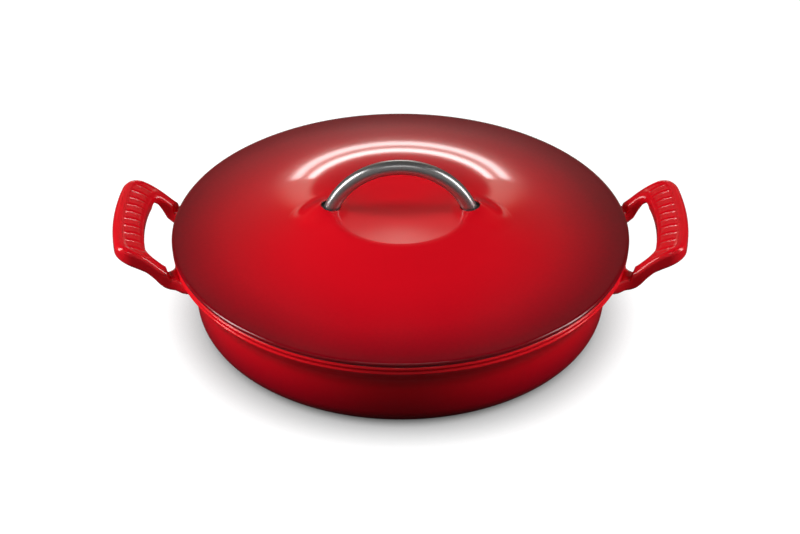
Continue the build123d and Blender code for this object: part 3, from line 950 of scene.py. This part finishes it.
def build_arch(sizes):
    """The bent bar: a path along the arc, which Geometry Nodes gives its round section."""
    bend = sizes.bend_radius
    centre = sizes.seat_height - bend * math.cos(sizes.half_angle)
    half = sizes.half_angle + sizes.sunk / bend
    curve = bpy.data.curves.new("arch_path", "CURVE")
    curve.dimensions = "3D"
    spline = curve.splines.new("POLY")
    ends = [(half - part * MM / bend, share) for part, share in BAR_END]
    inset = 0.9 * MM / bend
    runs = [(-angle, share) for angle, share in ends]
    runs += [(angle, 1.0) for angle in np.linspace(inset - half, half - inset, 180)] + ends[::-1]
    spline.points.add(len(runs) - 1)
    for point, (angle, share) in zip(spline.points, runs):
        point.co = (bend * math.sin(angle), 0, centre + bend * math.cos(angle), 1)
        point.radius = share
    tree, nodes, given = new_tree("Bent bar", ("Bar",))
    half_bar = nodes.wire(given["Bar"]) * 0.5
    section = nodes.add("GeometryNodeCurvePrimitiveCircle", {"Resolution": 96, "Radius": half_bar})
    tube = nodes.add("GeometryNodeCurveToMesh", {
        "Curve": given["Geometry"], "Profile Curve": section.outputs[0], "Fill Caps": True,
        "Scale": nodes.add("GeometryNodeInputRadius").outputs[0],
    })
    close_tree(nodes, tube.outputs[0], given["Material"])
    values = {"Bar": sizes.bar_diameter, "Material": bar_steel("bar_steel", sizes)}
    return grown("arch_bar", placed("arch_path", curve), tree, values)


def build_floor(look):
    """A wide flat round floor."""
    angles = np.arange(96) * 2 * math.pi / 96
    circle = np.stack([np.cos(angles), np.sin(angles), 0 * angles], 1)
    radii = (look.floor_radius / MM, 2000.0, 900.0, 400.0, 0.0)
    points, faces = skinned([radius * circle for radius in radii], closed_ends=False)
    paper = floor_paper("floor_paper", look.floor_colour)
    return make_object("pale_floor", points, faces, [0] * len(faces), [paper])


def soft_box(name, place, target, size, radiance):
    """A soft rectangular light that looks at the target. Lengths in metres."""
    light = bpy.data.lights.new(name, "AREA")
    light.shape = "RECTANGLE"
    light.size, light.size_y = size
    light.energy = radiance * math.pi * size[0] * size[1]
    lamp = placed(name, light)
    lamp.location = place
    lamp.rotation_euler = (Vector(target) - Vector(place)).to_track_quat("-Z", "Y").to_euler()
    lamp.visible_camera = False
    return lamp


def build_lights(look):
    """A tall light on each side, one above the camera, two strips and a high fill behind."""
    for name, side, strength in (("left_light", -1, look.left_light), ("right_light", 1, look.right_light)):
        box = soft_box(name, (side * 1.55, -0.12, 0.74), (0, 0, 0.04), (0.8, 1.4), strength)
        box.visible_glossy = False
        # What the gloss mirrors of a side light: a dim sheet with a bright strip in front of it
        mirrored = (("sheet", 1.62, 0.8, look.sheet_share), ("strip", 1.48, 0.36, 0.85))
        for part, far, wide, share in mirrored:
            place = (side * far, -0.075 * far, 0.04 + 0.45 * far)
            lamp = soft_box(f"{name}_{part}", place, (0, 0, 0.04), (wide, 1.4), strength * share)
            lamp.visible_diffuse = False
    soft_box("front_light", (0, -1.2, 1.70), (0, 0, 0.11), (1.2, 0.2), look.front_light)
    # The strips behind stand 2.5 m from the lid, between two angles above it.
    for number, (low, high) in enumerate(((13.2, 15.8), (18.2, 20.4))):
        bottom, top = (0.07 + 2.5 * math.tan(math.radians(angle)) for angle in (low, high))
        middle, size = (0, 2.6, (bottom + top) / 2), (0.95, top - bottom)
        soft_box(f"back_light_{number + 1}", middle, (0, 0, 0.06), size, look.back_light)
    fill = soft_box("back_fill", (0, 1.9, 1.9), (0, 0, 0), (2.4, 0.9), look.fill_light)
    fill.visible_glossy = False


def build_world(look):
    """White to the camera; for everything else a dim room with a pale glow behind."""
    world = bpy.data.worlds.new("Studio")
    bpy.context.scene.world = world
    world.use_nodes = True
    world.node_tree.nodes.clear()
    nodes = Nodes(world.node_tree)
    x, y, z = nodes.split(nodes.add("ShaderNodeTexCoord").outputs["Generated"])
    # The glow behind: strong in a narrow low band, and faint in a wider and higher one
    near = (1.0 - nodes.ramp(z, 0.33, 0.43)) * nodes.ramp(y, 0.80, 0.98)
    wide = (1.0 - nodes.ramp(z, 0.40, 0.66)) * 0.08 * nodes.ramp(y, 0.1, 0.8)
    haze = nodes.ramp(z, 0.17, 0.24) * (near + wide)
    room = nodes.ramp(y * -1.0, 0.1, 0.7) * (1.0 - nodes.ramp(z, 0.6, 0.9))
    glow = look.haze * haze + look.room * room + look.surround
    seen = nodes.wire(nodes.add("ShaderNodeLightPath").outputs["Is Camera Ray"])
    strength = seen + (1.0 - seen) * glow
    # The glow is warm, and warmer where it runs out sideways.
    sideways = nodes.ramp(z, 0.30, 0.40) * nodes.ramp(abs(x), 0.12, 0.26)
    warm = nodes.mix(sideways, (1.0, 0.84, 0.68), (1.0, 0.42, 0.25))
    tint = nodes.mix((1.0 - seen) * nodes.ramp(y, 0.0, 0.5), (1.0, 1.0, 1.0), warm)
    shader = nodes.add("ShaderNodeBackground", {"Color": tint, "Strength": strength}).outputs[0]
    nodes.add("ShaderNodeOutputWorld", {"Surface": shader})


def build_camera():
    """A long lens that looks down on the braiser from the front."""
    lens = bpy.data.cameras.new("Camera")
    lens.lens, lens.sensor_width = 130.3, 36.0
    lens.clip_start, lens.clip_end = 0.05, 50.0
    camera = placed("Camera", lens)
    camera.location = (-0.000318, -1.6438, 1.1391)
    camera.rotation_euler = (math.radians(90 - 33.92), 0, 0)
    bpy.context.scene.camera = camera


# Operators and panel


class BRAISER_OT_pan(Operator):
    """Build the pan's body with its beaded rim"""

    bl_idname = "braiser.pan"
    bl_label = "Pan"

    def execute(self, context):
        scene = context.scene
        body = build_pan(scene.braiser_pan, scene.braiser_enamel)
        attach(body, "pan")
        handles = build_handles(scene.braiser_handles, scene.braiser_pan, scene.braiser_enamel)
        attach(handles, "pan")
        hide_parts("pan")
        return {"FINISHED"}


class BRAISER_OT_lid(Operator):
    """Build the lid with its raised seats"""

    bl_idname = "braiser.lid"
    bl_label = "Lid"

    def execute(self, context):
        scene = context.scene
        shell = build_lid(scene.braiser_lid, scene.braiser_enamel)
        seats = build_seats(scene.braiser_lid, scene.braiser_arch, scene.braiser_enamel)
        for piece in (shell, seats):
            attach(piece, "lid")
        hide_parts("lid")
        return {"FINISHED"}


class BRAISER_OT_arch(Operator):
    """Build the bent bar and finish its fasteners"""

    bl_idname = "braiser.arch"
    bl_label = "Arch handle"

    def execute(self, context):
        bar = build_arch(context.scene.braiser_arch)
        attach(bar, "lid")
        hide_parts("lid_handle")
        finishes = {
            "handle_screws": fastener_steel("screw_steel", (0.52, 0.51, 0.50), 0.24),
            "handle_washers": fastener_steel("washer_steel", (0.60, 0.59, 0.57), 0.30),
        }
        for node, material in finishes.items():
            for slot in bpy.data.objects[node].material_slots:
                slot.material = material
        return {"FINISHED"}


class BRAISER_OT_stage(Operator):
    """Build the floor, the lights and the camera"""

    bl_idname = "braiser.stage"
    bl_label = "Stage"

    def execute(self, context):
        look = context.scene.braiser_stage
        floor = build_floor(look)
        build_world(look)
        build_lights(look)
        build_camera()
        context.scene.view_settings.view_transform = "Standard"
        return {"FINISHED"}


class BRAISER_PT_panel(Panel):
    """Sizes, colours and the buttons that build the pieces"""

    bl_idname = "BRAISER_PT_panel"
    bl_label = "Braiser"
    bl_space_type = "VIEW_3D"
    bl_region_type = "UI"
    bl_category = "Braiser"

    def draw(self, context):
        for name, group in GROUPS.items():
            box = self.layout.box()
            box.label(text=group.__name__)
            for part in group.__annotations__:
                box.prop(getattr(context.scene, name), part)
        for operator in OPERATORS:
            self.layout.operator(operator.bl_idname)


GROUPS = {
    "braiser_pan": PanSizes,
    "braiser_handles": HandleSizes,
    "braiser_lid": LidSizes,
    "braiser_arch": ArchSizes,
    "braiser_enamel": EnamelLook,
    "braiser_stage": StageLook,
}
OPERATORS = (BRAISER_OT_pan, BRAISER_OT_lid, BRAISER_OT_arch, BRAISER_OT_stage)
CLASSES = (*GROUPS.values(), *OPERATORS, BRAISER_PT_panel)


def register():
    for item in CLASSES:
        bpy.utils.register_class(item)
    for name, group in GROUPS.items():
        setattr(bpy.types.Scene, name, PointerProperty(type=group))


def unregister():
    for name in GROUPS:
        delattr(bpy.types.Scene, name)
    for item in reversed(CLASSES):
        bpy.utils.unregister_class(item)


def main():
    register()
    bpy.ops.braiser.pan()
    bpy.ops.braiser.lid()
    bpy.ops.braiser.arch()
    bpy.ops.braiser.stage()


if __name__ == "__main__":
    main()
